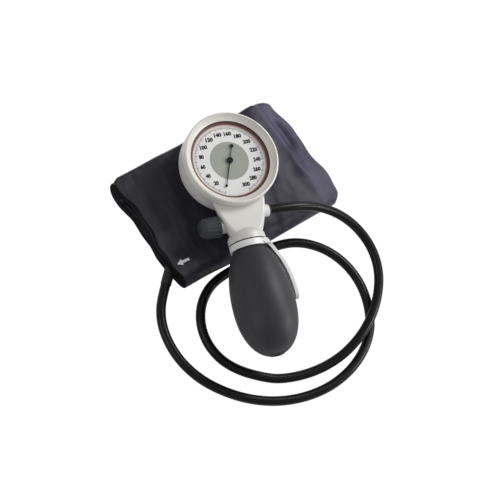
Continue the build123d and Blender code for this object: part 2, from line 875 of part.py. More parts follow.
# Release valve: brass bush, needle spindle, seal and fluted knob
valve_plane = Plane(origin=(0, valve_y, handle_z), x_dir=(-1, 0, 0), z_dir=(0, 1, 0))
valve_axis = Axis((0, valve_y, handle_z), (-1, 0, 0))
with BuildPart() as valve_bush:
    with BuildSketch(valve_plane):
        with BuildLine():
            bore = spindle_radius + running_gap
            Polyline(
                (bush_inner_end, 0.8), (bush_inner_end, bush_radius - 0.05),
                (knob_start - 1.5, bush_radius - 0.05), (knob_start - 1.5, 3.0),
                (knob_start + 3, 3.0), (knob_start + 3, bore), (14.0, bore), (14.0, 2.7),
                (12.6, 2.7), (12.6, bore), (bush_inner_end + 2, bore),
                (bush_inner_end, 0.8),
            )
        make_face()
    revolve(axis=valve_axis)
save(valve_bush, "valve_bush")

spindle_end = knob_start + spindle_grip
with BuildPart() as valve_spindle:
    with BuildSketch(valve_plane):
        with BuildLine():
            Polyline(
                (bush_inner_end - 0.6, 0), (bush_inner_end - 0.6, 0.35),
                (bush_inner_end + 2.15, spindle_radius), (spindle_end, spindle_radius),
                (spindle_end, 0), (bush_inner_end - 0.6, 0),
            )
        make_face()
    revolve(axis=valve_axis)
save(valve_spindle, "valve_spindle")

with BuildPart() as spindle_seal:
    with BuildSketch(valve_plane):
        with Locations((13.3, 2.14)):
            Circle(0.5)
    revolve(axis=valve_axis)
save(spindle_seal, "spindle_seal")

knob_end = knob_start + knob_length
grip_end = spindle_end + grip_clearance
grip_bore = spindle_radius + grip_clearance
with BuildPart() as release_knob:
    with BuildSketch(valve_plane):
        with BuildLine():
            Polyline(
                (knob_start, 3.4), (knob_start, knob_radius - 0.8),
                (knob_start + 0.8, knob_radius), (knob_end - 3.0, knob_radius - 0.5),
                (knob_end - 0.6, knob_radius - 1.7), (knob_end, knob_radius - 2.6),
                (knob_end, 0), (grip_end, 0), (grip_end, grip_bore),
                (knob_start + 4.5, grip_bore), (knob_start + 4.5, 3.4),
                (knob_start, 3.4),
            )
        make_face()
    revolve(axis=valve_axis)
    with BuildSketch(Plane(origin=(-knob_end, valve_y, handle_z), z_dir=(1, 0, 0))):
        with PolarLocations(knob_radius + 0.35, knob_flutes):
            Circle(0.95)
    extrude(amount=knob_length - 1.6, mode=Mode.SUBTRACT)
save(release_knob, "release_knob")

# Bulb joint: threaded nipple that also carries the swivelling collar
collar_start = neck_end + collar_gap
web_end = collar_start + 2.0
flange_start = web_end + 0.15
mouth_start = flange_start + 1.1
bulb_throat = mouth_start + throat_gap
bulb_middle = bulb_throat + bulb_front_length
bulb_end = bulb_middle + bulb_back_length
with BuildPart() as bulb_nipple:
    with BuildSketch(handle):
        with BuildLine():
            Polyline(
                (neck_end - socket_depth + 0.4, 1.6),
                (neck_end - socket_depth + 0.4, socket_radius - 0.05),
                (neck_end, socket_radius - 0.05), (neck_end, hub_radius),
                (flange_start, hub_radius), (flange_start, hub_radius + 1.9),
                (mouth_start, hub_radius + 1.9), (mouth_start, barb_radius - 0.6),
                (mouth_start + 3, barb_radius - 0.6), (mouth_start + 3, barb_radius),
                (mouth_start + 6, barb_radius - 0.6), (mouth_start + 6, barb_radius),
                (mouth_start + 9, barb_radius - 0.9), (mouth_start + 9, 3.1),
                (mouth_start + 4.5, 3.1), (mouth_start + 4.5, 1.6),
                (neck_end - socket_depth + 0.4, 1.6),
            )
        make_face()
    revolve(axis=handle_axis)
save(bulb_nipple, "bulb_nipple")

cage_start = mouth_start + 7.6
flap_start = cage_start - 0.85
with BuildPart() as outlet_flap:
    with BuildSketch(handle):
        with BuildLine():
            Polyline((flap_start, 0), (flap_start, 2.6), (flap_start + 0.8, 2.6),
                     (flap_start + 0.8, 0), (flap_start, 0))
        make_face()
    revolve(axis=handle_axis)
save(outlet_flap, "outlet_flap")

with BuildPart() as outlet_cage:
    with BuildSketch(Plane.XZ.offset(cage_start)):
        with Locations((0, handle_z)):
            Circle(3.05)
            with PolarLocations(1.7, 4):
                Circle(0.7, mode=Mode.SUBTRACT)
    extrude(amount=1.4)
save(outlet_cage, "outlet_cage")


def bulb_radius_at(distance):
    """Outer radius of the bulb at a distance down the handle: an egg with a throat."""
    if distance > bulb_middle:
        share = (distance - bulb_middle) / bulb_back_length
        return bulb_radius * sqrt(max(0.0, 1 - share * share))
    lift = sqrt(1 - (bulb_throat_radius / bulb_radius) ** 2)
    share = (bulb_middle - distance) / bulb_front_length * lift
    return bulb_radius * sqrt(1 - share * share)


throat_length = bulb_front_length / sqrt(1 - (bulb_throat_radius / bulb_radius) ** 2)
throat_angle = asin(bulb_throat_radius / bulb_radius) * 180 / pi
with BuildPart() as bulb:
    with BuildSketch(handle):
        with BuildLine():
            EllipticalCenterArc((bulb_middle, 0), throat_length, bulb_radius,
                                90, arc_size=90 - throat_angle)
            EllipticalCenterArc((bulb_middle, 0), bulb_back_length, bulb_radius, 0, arc_size=90)
            Polyline((bulb_end, 0), (bulb_throat, 0), (bulb_throat, bulb_throat_radius))
        make_face()
    revolve(axis=handle_axis)
    with BuildSketch(handle):
        inner = bulb_radius - bulb_wall
        with BuildLine():
            EllipticalCenterArc((bulb_middle, 0), bulb_back_length - bulb_wall, inner,
                                0, arc_size=90)
            EllipticalCenterArc((bulb_middle, 0), bulb_front_length - mouth_length,
                                inner, 90, arc_size=90)
            Line((bulb_throat + mouth_length, 0), (bulb_end - bulb_wall, 0))
        make_face()
    revolve(axis=handle_axis, mode=Mode.SUBTRACT)
    with BuildSketch(Plane.XZ.offset(bulb_throat - 1)):
        with Locations((0, handle_z)):
            Circle(barb_radius + running_gap)
    extrude(amount=mouth_length + 6, mode=Mode.SUBTRACT)
    with BuildSketch(Plane.XZ.offset(bulb_end - 8)):
        with Locations((0, handle_z)):
            Circle(intake_radius + running_gap)
    extrude(amount=10, mode=Mode.SUBTRACT)
    with BuildSketch(Plane.XZ.offset(bulb_end - 1.4)):
        with Locations((0, handle_z)):
            Circle(intake_flange + 0.1)
    extrude(amount=4, mode=Mode.SUBTRACT)
save(bulb, "bulb")

flange_face = bulb_end - 0.3
with BuildPart() as intake_valve_body:
    with BuildSketch(handle):
        with BuildLine():
            Polyline(
                (bulb_end - 9, 1.3), (bulb_end - 9, intake_radius),
                (bulb_end - 1.35, intake_radius), (bulb_end - 1.35, intake_flange),
                (flange_face - 0.3, intake_flange), (flange_face, intake_flange - 0.4),
                (flange_face, 3.0), (bulb_end - 2.2, 3.0), (bulb_end - 2.2, 1.2),
                (bulb_end - 3.4, 1.2), (bulb_end - 4.3, 2.1), (bulb_end - 8.1, 2.1),
                (bulb_end - 8.1, 1.3), (bulb_end - 9, 1.3),
            )
        make_face()
    revolve(axis=handle_axis)
save(intake_valve_body, "intake_valve_body")

ball_radius = 1.7
ball_place = bulb_end - 5.35
with BuildPart() as intake_ball:
    with Locations((0, -ball_place, handle_z)):
        Sphere(ball_radius)
save(intake_ball, "intake_ball")

with BuildPart() as intake_filter:
    with BuildSketch(Plane.XZ.offset(bulb_end - 2.15)):
        with Locations((0, handle_z)):
            Circle(2.95)
            with GridLocations(1.3, 1.3, 3, 3):
                Circle(0.4, mode=Mode.SUBTRACT)
    extrude(amount=1.0)
save(intake_filter, "intake_filter")

# Collar and spoon in one moulding: the spoon is a tongue cut from a shell round the bulb
collar_end = collar_start + collar_length
collar_bore = bulb_radius_at(collar_end) + collar_clearance
spoon_tip = bulb_middle + spoon_past_middle
with BuildPart() as spoon_tongue:
    with BuildSketch(handle):
        with BuildLine():
            edge = collar_start + 0.8
            inside = [(edge, collar_bore + 0.2)]
            outside = [(edge, collar_radius + spoon_root)]
            for s in (bulb_throat + 5.8, bulb_throat + 17.8, bulb_throat + 29.8, spoon_tip):
                inside.append((s, bulb_radius_at(s) + spoon_standoff))
                outside.append((s, bulb_radius_at(s) + spoon_standoff + spoon_thickness))
            Spline(*inside)
            Spline(*outside)
            Line(inside[0], outside[0])
            Line(inside[-1], outside[-1])
        make_face()
    revolve(axis=handle_axis)
    with BuildSketch(Plane.YZ):
        with BuildLine():
            half = spoon_width / 2
            tip_half = spoon_tip_width / 2
            root = collar_end
            for side in (1, -1):
                Line((-edge, handle_z), (-edge, handle_z + side * 11.5))
                Line((-edge, handle_z + side * 11.5), (-root, handle_z + side * 11.5))
                Spline((-root, handle_z + side * 11.5), (-root - 10, handle_z + side * half),
                       tangents=((-0.3, -side), (-1, 0)))
                Line((-root - 10, handle_z + side * half),
                     (-spoon_tip + tip_half, handle_z + side * tip_half))
            ThreePointArc((-spoon_tip + tip_half, handle_z + tip_half), (-spoon_tip, handle_z),
                          (-spoon_tip + tip_half, handle_z - tip_half))
        make_face()
    extrude(amount=30, mode=Mode.INTERSECT)

with BuildPart() as spoon_collar:
    with BuildSketch(handle):
        with BuildLine():
            Polyline(
                (collar_start, hub_radius + running_gap), (collar_start, collar_radius - 0.2),
                (collar_start + 0.4, collar_radius), (collar_end, collar_radius),
                (collar_end, collar_bore), (web_end, collar_bore),
                (web_end, hub_radius + running_gap), (collar_start, hub_radius + running_gap),
            )
        make_face()
    revolve(axis=handle_axis)
    add(spoon_tongue.part)
save(spoon_collar, "spoon_collar")
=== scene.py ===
# %% [markdown]
# # A palm-type blood pressure gauge on its folded cuff
# The hard parts of this object, such as the gauge head, its movement and the valve, come from a
# CAD model and keep their shapes. Blender adds what CAD can't: the cloth, the rubber, the print on
# the dial and the finish of every surface. So the first step loads the CAD model. Nothing that is
# made here may grow out of it.

# %% Load the CAD model
from math import pi

import bmesh
import bpy
import numpy as np
from mathutils import Matrix, Vector


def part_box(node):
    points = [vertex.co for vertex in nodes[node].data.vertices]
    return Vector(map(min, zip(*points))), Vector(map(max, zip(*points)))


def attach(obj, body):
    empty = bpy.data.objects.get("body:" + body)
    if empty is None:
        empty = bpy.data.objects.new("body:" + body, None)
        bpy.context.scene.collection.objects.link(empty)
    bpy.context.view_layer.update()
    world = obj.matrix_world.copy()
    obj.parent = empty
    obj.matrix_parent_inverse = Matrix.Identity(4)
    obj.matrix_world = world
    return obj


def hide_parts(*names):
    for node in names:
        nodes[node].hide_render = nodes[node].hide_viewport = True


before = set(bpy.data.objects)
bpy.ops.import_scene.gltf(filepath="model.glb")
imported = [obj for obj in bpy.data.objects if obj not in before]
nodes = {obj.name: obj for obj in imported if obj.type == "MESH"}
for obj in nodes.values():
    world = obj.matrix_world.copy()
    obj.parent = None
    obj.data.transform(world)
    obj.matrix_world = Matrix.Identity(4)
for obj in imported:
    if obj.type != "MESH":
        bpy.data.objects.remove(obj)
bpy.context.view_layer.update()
MM = 0.001
scene = bpy.context.scene


def new_object(name, data):
    """An object at the origin that shows the data, linked to the scene."""
    made = bpy.data.objects.new(name, data)
    scene.collection.objects.link(made)
    return made


# %% [markdown]
# ## Camera
# A product photographer stands well back with a long lens, so the round dial stays nearly round.
# The camera looks straight down, then it is rolled about its line of sight, tilted and turned to
# its heading. The three angles follow from the ellipse of the dial and the line of the handle.

# %% Camera
camera_data = bpy.data.cameras.new("camera")
camera_data.lens = 110.41
camera_data.sensor_width = 36
camera_data.clip_start = 0.05
camera_data.clip_end = 20
camera = new_object("camera", camera_data)
CAMERA_PLACE = Vector((-0.37003, -0.33817, 1.01813))
HEADING, TILT, ROLL = np.radians((-53.640, 25.156, 41.303))
turned = Matrix.Rotation(HEADING, 4, "Z") @ Matrix.Rotation(TILT, 4, "X") @ Matrix.Rotation(ROLL, 4, "Z")
camera.matrix_world = Matrix.Translation(CAMERA_PLACE) @ turned
scene.camera = camera
print("camera is", round(CAMERA_PLACE.length, 3), "m from the foot of the gauge")

# %% [markdown]
# ## Helpers for shapes
# Most new pieces here are grids: a table of points with rows along the piece and columns round it.
# One helper turns such a table into quads, joined at the ends where the grid closes on itself.

# %% Grid and mesh helpers
def add_piece(name, points, faces, body, smooth=True):
    """Makes a mesh object from a table of points in metres and lists of corner numbers."""
    mesh = bpy.data.meshes.new(name)
    mesh.from_pydata(points.reshape(-1, 3).tolist(), [], faces)
    mesh.update()
    mesh.polygons.foreach_set("use_smooth", np.full(len(mesh.polygons), smooth))
    piece = new_object(name, mesh)
    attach(piece, body)
    print(name, len(mesh.vertices), "points", len(mesh.polygons), "faces")
    return piece


def grid_quads(rows, columns, wrap_rows=False, wrap_columns=False):
    """Quads of a rows by columns table of points: (i, j), (i+1, j), (i+1, j+1), (i, j+1)."""
    i, j = np.meshgrid(
        np.arange(rows if wrap_rows else rows - 1),
        np.arange(columns if wrap_columns else columns - 1),
        indexing="ij",
    )
    following_i, following_j = (i + 1) % rows, (j + 1) % columns
    corners = (i * columns + j, following_i * columns + j,
               following_i * columns + following_j, i * columns + following_j)
    return np.stack(corners, axis=-1).reshape(-1, 4).tolist()


def weld(piece, distance=1e-6):
    """Joins points that lie on each other, so that poles and seams are closed, and turns faces outward."""
    shape = bmesh.new()
    shape.from_mesh(piece.data)
    bmesh.ops.remove_doubles(shape, verts=shape.verts, dist=distance)
    bmesh.ops.dissolve_degenerate(shape, dist=distance, edges=shape.edges)
    bmesh.ops.recalc_face_normals(shape, faces=shape.faces)
    open_edges = sum(1 for edge in shape.edges if len(edge.link_faces) != 2)
    shape.to_mesh(piece.data)
    shape.free()
    print(piece.name, "welded, open edges", open_edges)


def smoothstep(low, high, value):
    """0 below low, 1 above high, and 3t^2 - 2t^3 between them."""
    share = np.clip((value - low) / (high - low), 0, 1)
    return share * share * (3 - 2 * share)


# %% [markdown]
# ## The rubber hose
# A hose is a fixed length of something that bends slowly, so its middle line is a smooth spline
# and not a chain of arcs. A NURBS curve of order 3 passes near its control points and never
# kinks. The points run from the port on the neck, down to the table, round two loops and into
# the side of the cuff, and the curve's own round bevel gives the hose its thickness.

# %% Hose
hose_route = MM * np.array([
    (22.8, -38.5, 38.5), (38.0, -38.5, 38.5), (54.4, -38.8, 35.0), (69.2, -41.4, 30.0),
    (84.4, -48.4, 24.0), (96.3, -59.5, 18.6), (103.4, -74.5, 15.2), (104.4, -91.0, 13.0),
    (99.2, -107.5, 11.8), (89.6, -123.0, 11.2), (76.0, -136.8, 9.4), (58.0, -147.9, 5.8),
    (35.5, -154.0, 3.8), (11.5, -154.3, 3.5), (-3.5, -149.4, 3.5), (-19.6, -141.0, 3.5),
    (-31.0, -129.8, 3.5), (-37.1, -115.0, 3.5), (-36.9, -99.0, 3.5), (-30.3, -84.4, 3.5),
    (-18.3, -73.6, 3.5), (4.2, -65.7, 3.5), (19.5, -60.2, 3.5), (33.5, -55.6, 3.5),
    (52.0, -55.4, 3.5), (70.0, -63.2, 3.5), (83.6, -76.8, 3.5), (91.4, -94.0, 3.5),
    (93.0, -112.0, 3.5), (89.8, -129.5, 3.5), (79.6, -145.6, 3.5), (63.4, -158.8, 3.5),
    (43.5, -167.4, 3.5), (21.5, -170.6, 3.5), (-1.0, -168.6, 3.5), (-23.0, -160.8, 3.5),
    (-42.8, -147.6, 3.5), (-55.2, -133.2, 3.5), (-62.0, -119.0, 3.5), (-65.0, -105.0, 3.5),
    (-64.6, -92.8, 3.6), (-61.2, -81.2, 4.1), (-55.6, -70.9, 4.85),
])
HOSE_DIAMETER = 7.0 * MM


def rubber_tube(name, route, radius):
    """A round tube along a smooth curve: a bevel of 1 m, scaled to the radius at every control point."""
    curve = bpy.data.curves.new(name, "CURVE")
    curve.dimensions = "3D"
    curve.bevel_depth = 1.0
    curve.bevel_resolution = 6
    curve.resolution_u = 10
    curve.use_fill_caps = True
    spline = curve.splines.new("NURBS")
    spline.points.add(len(route) - 1)
    spline.points.foreach_set("co", np.c_[route, np.ones(len(route))].ravel())
    spline.points.foreach_set("radius", np.full(len(route), radius))
    spline.order_u = 3
    spline.use_endpoint_u = True
    return new_object(name, curve)


hose = rubber_tube("rubber_hose", hose_route, HOSE_DIAMETER / 2)
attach(hose, "device")
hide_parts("hose")
hose_length = float(np.linalg.norm(np.diff(hose_route, axis=0), axis=1).sum())
print("hose, corner to corner,", round(hose_length, 3), "m")

# %% [markdown]
# ## Helpers for materials
# A material is a small program. `Signal` wraps one output of a node, and its operators add the
# Math nodes, so a formula in the shader reads like a formula in Python. `Finish` holds one
# material and has one method that adds any other node.

# %% Signal and Finish
class Signal:
    """A value on its way through a material. Arithmetic on it adds Math nodes."""

    def __init__(self, tree, socket):
        self.tree, self.socket = tree, socket

    def math(self, operation, *values):
        node = self.tree.nodes.new("ShaderNodeMath")
        node.operation = operation
        for value, slot in zip(values, node.inputs):
            plug(self.tree, value, slot)
        return Signal(self.tree, node.outputs[0])

    def __add__(self, other):
        return self.math("ADD", self, other)

    def __mul__(self, other):
        return self.math("MULTIPLY", self, other)

    __radd__, __rmul__ = __add__, __mul__

    def __sub__(self, other):
        return self.math("SUBTRACT", self, other)

    def __rsub__(self, other):
        return self.math("SUBTRACT", other, self)

    def __gt__(self, other):
        return self.math("GREATER_THAN", self, other)

    def __abs__(self):
        return self.math("ABSOLUTE", self)


def plug(tree, value, slot):
    """Links a Signal to a socket, or writes a number or colour on it."""
    if isinstance(value, Signal):
        tree.links.new(value.socket, slot)
    else:
        slot.default_value = value


def colour(red, green, blue):
    """A colour as seen on screen, 0 to 255, as the linear colour that a shader takes."""
    seen = np.array((red, green, blue)) / 255
    linear = np.where(seen <= 0.04045, seen / 12.92, ((seen + 0.055) / 1.055) ** 2.4)
    return (*linear.tolist(), 1.0)


class Finish:
    """One material: constants go on its Principled shader, and node() adds the rest."""

    def __init__(self, name, constants):
        self.material = bpy.data.materials.new(name)
        self.material.use_nodes = True
        self.tree = self.material.node_tree
        self.shader = self.tree.nodes["Principled BSDF"]
        self.set(constants)

    def set(self, values):
        for socket, value in values.items():
            plug(self.tree, value, self.shader.inputs[socket])

    def node(self, kind, settings=None, inputs=None, output=0):
        node = self.tree.nodes.new("ShaderNode" + kind)
        for key, value in (settings or {}).items():
            setattr(node, key, value)
        for key, value in (inputs or {}).items():
            plug(self.tree, value, node.inputs[key])
        return Signal(self.tree, node.outputs[output])

    def place(self):
        return self.node("TexCoord", output="Object")

    def along(self, axis, vector=None):
        """The x, y or z of a vector, or of the place on the object."""
        return self.node("SeparateXYZ", inputs={"Vector": vector or self.place()}, output=axis)

    def noise(self, scale, detail=2.0, place=None):
        """Cloudy pattern from 0 to 1, with scale blobs per metre."""
        settings = {"Vector": place or self.place(), "Scale": scale, "Detail": detail}
        return self.node("TexNoise", inputs=settings, output="Fac")

    def step(self, value, low, high):
        """0 below low, 1 above high, smooth between."""
        settings = {"interpolation_type": "SMOOTHSTEP"}
        return self.node("MapRange", settings, {"Value": value, "From Min": low, "From Max": high})

    def mix(self, share, first, second):
        """The first colour where share is 0 and the second where it is 1."""
        node = self.tree.nodes.new("ShaderNodeMix")
        node.data_type = "RGBA"
        plug(self.tree, share, node.inputs["Factor"])
        plug(self.tree, first, node.inputs[6])
        plug(self.tree, second, node.inputs[7])
        return Signal(self.tree, node.outputs[2])

    def bump(self, height, depth, normal=None):
        """Normal of a surface that stands out by height times depth, in metres."""
        inputs = {"Height": height, "Distance": depth, "Strength": 1.0}
        if normal is not None:
            inputs["Normal"] = normal
        return self.node("Bump", inputs=inputs)


# %% [markdown]
# ## Plastics
# Moulded plastic is never quite even. The steel mould leaves a fine spark grain that breaks up
# the highlight, and handling polishes it in soft patches. Two noise patterns do that: a fine one
# bends the surface by a few hundredths of a millimetre, and a broad one shifts the roughness and,
# very slightly, the colour.

# %% Plastic finishes
def moulded(name, tint, roughness, grain=1400.0, depth=0.00002, constants=None, joint=None):
    """Moulded plastic or rubber: uneven tint with a fine grain, and a dark painted shade where y is above a
    given line.
    """
    finish = Finish(name, {"Specular IOR Level": 0.5, **(constants or {})})
    broad = finish.noise(45.0, 3.0)
    fine = finish.noise(grain, 2.0)
    darker = tuple(c * 0.92 for c in tint[:3]) + (1.0,)
    base = finish.mix(broad, tint, darker)
    # Above the line the plastic is painted dark: a painted shade for the shadow in a gap between parts.
    if joint is not None:
        shaded = finish.step(finish.along(1), joint - 0.05 * MM, joint + 0.05 * MM)
        base = finish.mix(shaded, base, colour(38, 38, 40))
    finish.set({
        "Base Color": base,
        "Roughness": roughness + (broad - 0.5) * 0.12 + (fine - 0.5) * 0.06,
        "Normal": finish.bump(fine, depth),
    })
    return finish.material


shell_finish = moulded("shell_moulding", colour(208, 207, 202), 0.36)
bezel_finish = moulded("bezel_moulding", colour(226, 223, 215), 0.32)
white_finish = moulded("white_moulding", colour(228, 229, 228), 0.36)
# The rim of the collar next to the housing is painted dark, 0.6 mm wide: a painted shade for the shadow in
# the gap.
collar_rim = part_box("spoon_collar")[1][1] - 0.6 * MM
collar_finish = moulded("collar_moulding", colour(226, 227, 226), 0.36, joint=collar_rim)
knob_finish = moulded("knob_moulding", colour(52, 55, 60), 0.5, grain=1800.0,
                      constants={"Specular IOR Level": 0.3})
black_finish = moulded("black_moulding", colour(30, 30, 32), 0.4)
cage_finish = moulded("cage_moulding", colour(200, 200, 198), 0.45)
pointer_finish = moulded("pointer_enamel", colour(20, 20, 20), 0.6, grain=4000.0, depth=0.000005,
                         constants={"Specular IOR Level": 0.12})

# %% [markdown]
# ## Rubber
# The bulb is moulded in two halves from dark grey rubber, so a thin parting line runs along its
# middle. Its skin is matt, with a faint bloom that scatters light at glancing angles. The hose is
# extruded and darker, and wipes clean, so it keeps a satin highlight.

# %% Rubber finishes
hose_finish = moulded("hose_rubber_skin", colour(13, 13, 14), 0.27, grain=900.0, depth=0.00002,
                      constants={"Specular IOR Level": 0.2})
seal_finish = moulded("seal_rubber_skin", colour(34, 34, 35), 0.6)
bladder_finish = moulded("bladder_rubber_skin", colour(24, 24, 25), 0.62)
AXIS_HEIGHT = 38.5 * MM


def bulb_skin():
    """Matt rubber with a raised parting line 0.7 mm wide where the two halves of the mould met."""
    finish = Finish("bulb_rubber_skin",
                    {"Specular IOR Level": 0.32, "Sheen Weight": 0.02, "Sheen Roughness": 0.5})
    seam = 1 - finish.step(abs(finish.along(2) - AXIS_HEIGHT), 0.2 * MM, 0.5 * MM)
    broad, fine = finish.noise(60.0, 4.0), finish.noise(1300.0, 3.0)
    finish.set({
        "Base Color": finish.mix(broad, colour(50, 50, 54), colour(40, 40, 43)),
        "Roughness": 0.48 + (broad - 0.5) * 0.12 + seam * 0.05,
        "Normal": finish.bump(fine + seam * 2.5, 0.00004),
    })
    return finish.material


bulb_finish = bulb_skin()

# %% [markdown]
# ## Metals
# Turned and stamped metal carries fine lines from the tool. A noise pattern that is stretched
# along one axis looks like them, and it also varies the roughness a little.

# %% Metal finishes
def worked(name, tint, roughness, stretch=(900.0, 900.0, 90.0)):
    """Metal with fine tool lines along one axis and a little tarnish between them."""
    finish = Finish(name, {"Metallic": 1.0})
    place = finish.node("Mapping", inputs={"Vector": finish.place(), "Scale": stretch})
    lines = finish.noise(1.0, 2.0, place)
    stains = finish.noise(220.0, 3.0)
    dull = tuple(c * 0.72 for c in tint[:3]) + (1.0,)
    finish.set({
        "Base Color": finish.mix(stains, tint, dull),
        "Roughness": roughness + (lines - 0.5) * 0.18,
        "Normal": finish.bump(lines, 0.000008),
    })
    return finish.material


brass_finish = worked("turned_brass", colour(206, 172, 98), 0.3)
bronze_finish = worked("rolled_bronze", colour(196, 148, 96), 0.34, (120.0, 1500.0, 1500.0))
steel_finish = worked("ground_steel", colour(196, 197, 200), 0.28)
chrome_finish = worked("plated_chrome", colour(220, 221, 223), 0.14, (700.0, 60.0, 700.0))
dark_chrome_finish = worked("black_chrome", colour(58, 59, 62), 0.42, (700.0, 60.0, 700.0))


# %% [markdown]
# ## The clear lens
# The lens over the dial is a flat clear disc. At this distance it adds only a faint reflection,
# so a mostly transparent glossy surface is enough, and the print below stays crisp.

# %% Lens finish
def clear_plastic():
    """Almost transparent, glossy plastic with faint wiping marks in its roughness."""
    finish = Finish("clear_lens", {"Base Color": colour(70, 74, 74), "IOR": 1.49, "Specular IOR Level": 0.5})
    marks = finish.noise(140.0, 3.0)
    finish.set({"Alpha": 0.07, "Roughness": 0.05 + marks * 0.05})
    return finish.material


lens_finish = clear_plastic()

# %% [markdown]
# ## Give every CAD piece its finish
# A CAD node that keeps its shape only needs a material. The table goes by the kind of stuff. The
# nodes that are still plain after it are printed: the dial and its ring, which come next, and
# the ones that new pieces replace.

# %% Finishes for the CAD nodes
finishes = {
    "housing": shell_finish, "bezel": bezel_finish, "lens": lens_finish,
    "port_socket": white_finish, "spoon_collar": collar_finish, "release_knob": knob_finish,
    "pointer": pointer_finish, "hose_connector": black_finish, "hose_joiner": black_finish,
    "outlet_cage": cage_finish, "spindle_seal": seal_finish, "outlet_flap": seal_finish,
    "bladder": bladder_finish, "bladder_spout": bladder_finish,
    "bulb_nipple": chrome_finish, "intake_valve_body": dark_chrome_finish,
}
for name in ("dial_feet", "base_pillars", "plate_pillars", "lower_plate", "upper_plate", "base_plate",
             "sector_gear", "hairspring_stud", "hairspring_collet", "capsule_stem", "capsule_inlet",
             "valve_bush", "gauge_nipple", "gauge_tube"):
    finishes[name] = brass_finish
for name in ("capsule_upper_diaphragm", "capsule_lower_diaphragm", "hairspring"):
    finishes[name] = bronze_finish
for name in ("pinion_arbor", "rocker_shaft", "base_screws", "valve_spindle", "intake_ball", "intake_filter"):
    finishes[name] = steel_finish


def paint(piece, material):
    """Puts one material on every face of a piece."""
    piece.data.materials.clear()
    piece.data.materials.append(material)


for name, material in finishes.items():
    paint(nodes[name], material)
paint(hose, hose_finish)
print("still plain:", sorted(set(nodes) - set(finishes)))


# %% [markdown]
# ## The dial face
# The dial is a white enamelled disc with a grey-green field in the middle, and the ring that
# stands round it is brown, with a pale pink foot by the dial that is painted light. Both follow from
# the distance to the pointer's axis, so they are formulas in the material: one colour inside a
# radius, another outside, with a narrow edge.

# %% Dial enamel and ring
FIELD_RADIUS, RING_RADIUS = 14.5 * MM, 27.2 * MM


def round_print(name, radius, edge, middle, outside, constants):
    """A surface of one colour inside a radius about the pointer's axis and another colour outside it."""
    finish = Finish(name, constants)
    flat = finish.node("VectorMath", {"operation": "MULTIPLY"}, {0: finish.place(), 1: (1, 1, 0)})
    distance = finish.node("VectorMath", {"operation": "LENGTH"}, {0: flat}, output="Value")
    speckle = finish.noise(2500.0, 2.0)
    finish.set({
        "Base Color": finish.mix(finish.step(distance, radius - edge, radius + edge), middle, outside),
        "Roughness": 0.5 + (speckle - 0.5) * 0.1,
        "Normal": finish.bump(speckle, 0.000004),
    })
    return finish.material


paint(nodes["dial"], round_print("dial_enamel_face", FIELD_RADIUS, 0.05 * MM, colour(170, 173, 162),
                                 colour(248, 248, 246), {"Specular IOR Level": 0.3}))
# The pale pink inside RING_RADIUS is painted light: a painted highlight on the foot of the brown ring.
paint(nodes["dial_ring"], round_print("brown_ring", RING_RADIUS, 0.6 * MM, colour(226, 204, 198),
                                      colour(104, 62, 54), {"Specular IOR Level": 0.4}))

# %% [markdown]
# ## The printed scale
# The scale runs from 0 to 300 over 317 degrees, with a fine mark every 2, a longer one every 10
# and a number every 20. Each mark is a thin bar that lies on the dial, so the whole ring of them
# is one array: the bar's eight corners, turned to every angle at once.

# %% Scale marks
SCALE_START, SCALE_TURN, FULL_SCALE = 201.5, 317.0, 300
MARK_START, LONG_MARK_START, MARK_END = 24.5 * MM, 23.9 * MM, 25.8 * MM
MARK_WIDTH, LONG_MARK_WIDTH = 0.26 * MM, 0.38 * MM
INK_THICKNESS = 0.03 * MM
dial_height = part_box("dial")[1][2]
print("top of the dial", round(dial_height / MM, 3), "mm")


def scale_angle(pressure):
    """Angle in radians, counted clockwise from the top of the dial, of a pressure on the scale."""
    return np.radians(SCALE_START + SCALE_TURN * np.asarray(pressure, float) / FULL_SCALE)


def radial_bars(pressures, inner, outer, width):
    """Corners and faces of flat bars along the radius: point = r (sin a, cos a) + t (cos a, -sin a)."""
    angle = scale_angle(pressures)[:, None]
    inner, outer, width = (np.broadcast_to(v, len(pressures))[:, None] for v in (inner, outer, width))
    along = np.array([0, 1, 1, 0, 0, 1, 1, 0])[None, :]
    side = np.array([-1, -1, 1, 1, -1, -1, 1, 1])[None, :] / 2
    radius, offset = inner + (outer - inner) * along, width * side
    height = np.broadcast_to(dial_height + INK_THICKNESS * np.array([0, 0, 0, 0, 1, 1, 1, 1]), radius.shape)
    points = np.stack((radius * np.sin(angle) + offset * np.cos(angle),
                       radius * np.cos(angle) - offset * np.sin(angle), height), axis=-1)
    box = np.array([(0, 1, 2, 3), (7, 6, 5, 4), (0, 4, 5, 1), (1, 5, 6, 2), (2, 6, 7, 3), (3, 7, 4, 0)])
    faces = (box[None] + 8 * np.arange(len(pressures))[:, None, None]).reshape(-1, 4)
    return points, faces.tolist()


ink_finish = moulded("printing_ink", colour(18, 19, 24), 0.7, grain=6000.0, depth=0.000002,
                     constants={"Specular IOR Level": 0.1})
pressures = np.arange(0, FULL_SCALE + 1, 2)
tens = pressures % 10 == 0
points, faces = radial_bars(pressures, np.where(tens, LONG_MARK_START, MARK_START), MARK_END,
                            np.where(tens, LONG_MARK_WIDTH, MARK_WIDTH))
marks = add_piece("scale_marks", points, faces, "device", smooth=False)
weld(marks, 1e-9)
paint(marks, ink_finish)


# %% [markdown]
# ## The numbers
# The numbers stand upright round the dial. Blender's text object makes their outlines. It is
# turned into a mesh before it is moved, because the export puts every object at the origin.

# %% Numbers
NUMBER_RADIUS, NUMBER_HEIGHT, DIGIT_WIDTH = 20.7 * MM, 3.3 * MM, 1.98 * MM
DIGIT_GAP = 0.12 * DIGIT_WIDTH


